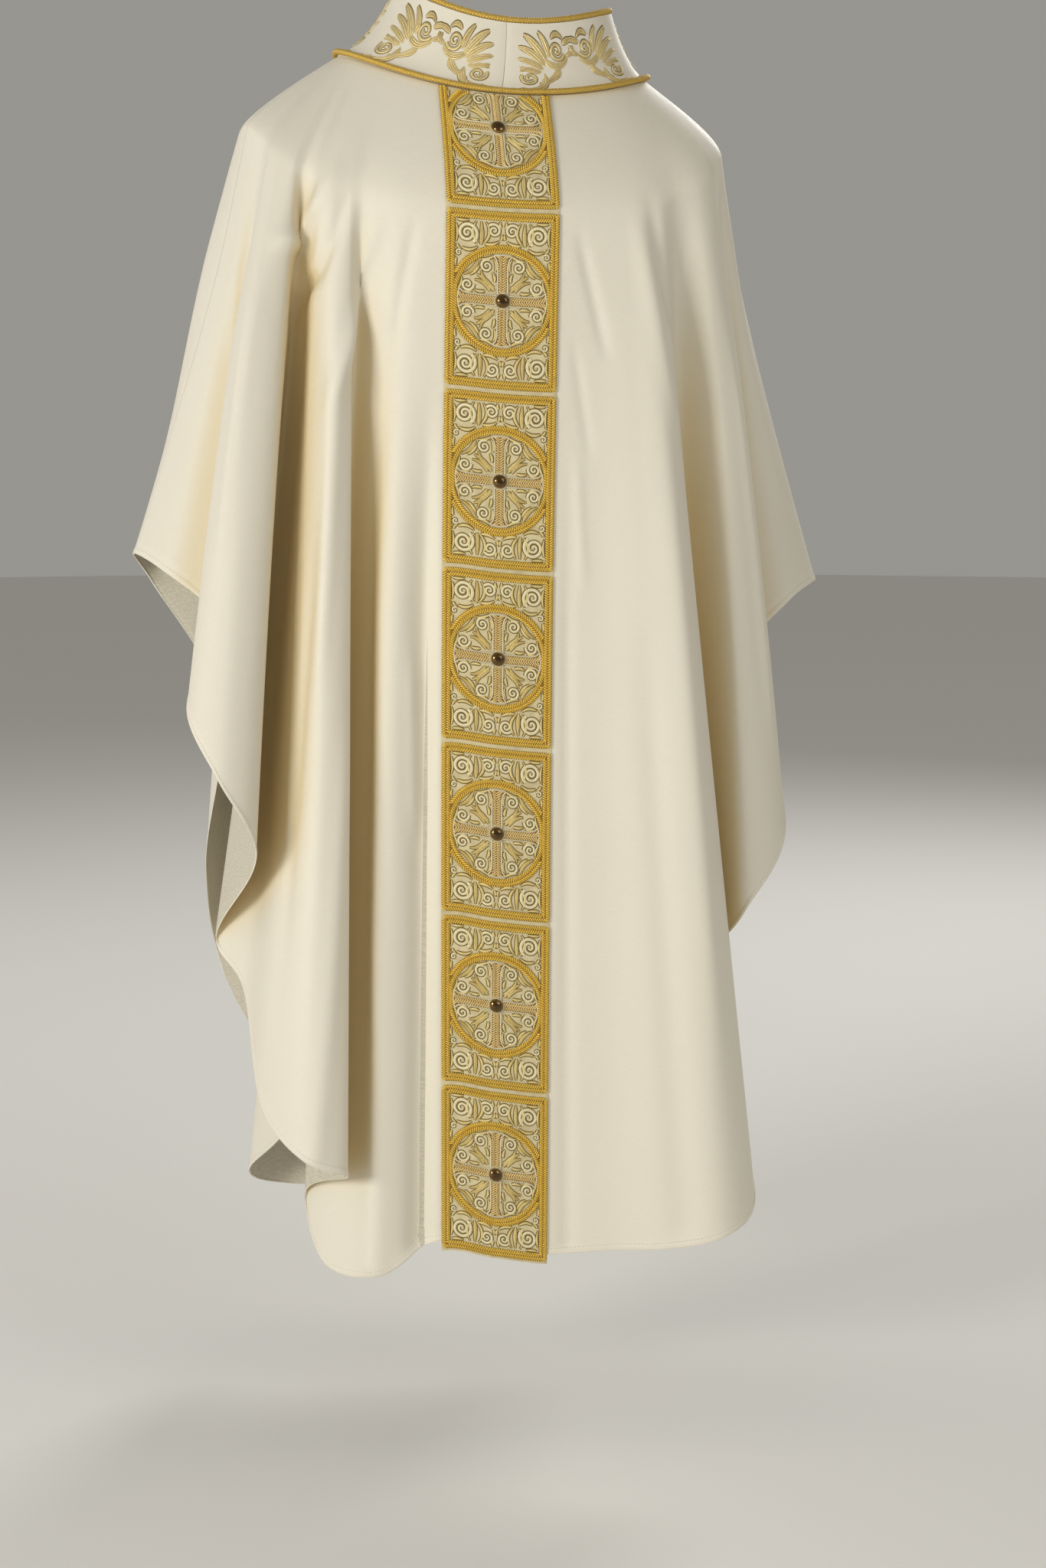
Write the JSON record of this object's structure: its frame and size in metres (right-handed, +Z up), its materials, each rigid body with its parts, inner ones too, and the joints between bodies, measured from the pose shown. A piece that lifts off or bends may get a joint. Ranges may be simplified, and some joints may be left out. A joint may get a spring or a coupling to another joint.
{
  "type": "chasuble",
  "caption": "Worn church vestment: wide poncho-cut cream cloth in deep folds, tall stand collar edged with gold cord, and an embroidered gold-braid strip down the back.",
  "frame": {"origin": "where the wearer's shoulders hold the garment: midway between the shoulders, level with the back of the collar seam", "axes": "+Z up, +X to the wearer's right, +Y to the wearer's front, so the braided strip is on the -Y side"},
  "size_m": [0.814, 0.4768, 1.4505],
  "materials": {
    "cloth": "cream matt-satin weave with a faint gold metallic thread, rougher and beige on its reverse",
    "collar_cloth": "cream weave with pale gold embroidery",
    "orphrey_cloth": "cream ground with pale gold embroidery",
    "gold_braid": "gold metallic thread in a herringbone",
    "gold_cord": "twisted gold cord",
    "cross_stitching": "gold and brown chevron satin stitch",
    "amber_stone": "polished amber-coloured glass stone with a foil back"
  },
  "bodies": {
    "root": {"back": "cloth", "front": "cloth", "collar_left": "collar_cloth", "collar_right": "collar_cloth", "cord_base": "gold_cord", "cord_top": "gold_cord", "orphrey_band": "orphrey_cloth", "frame_1": "gold_braid", "frame_2": "gold_braid", "frame_3": "gold_braid", "frame_4": "gold_braid", "frame_5": "gold_braid", "frame_6": "gold_braid", "frame_7": "gold_braid", "ring_1": "gold_braid", "ring_2": "gold_braid", "ring_3": "gold_braid", "ring_4": "gold_braid", "ring_5": "gold_braid", "ring_6": "gold_braid", "ring_7": "gold_braid", "cross_1": "cross_stitching", "cross_2": "cross_stitching", "cross_3": "cross_stitching", "cross_4": "cross_stitching", "cross_5": "cross_stitching", "cross_6": "cross_stitching", "cross_7": "cross_stitching", "gem_1": "amber_stone", "gem_2": "amber_stone", "gem_3": "amber_stone", "gem_4": "amber_stone", "gem_5": "amber_stone", "gem_6": "amber_stone", "gem_7": "amber_stone"}
  },
  "joints": []
}
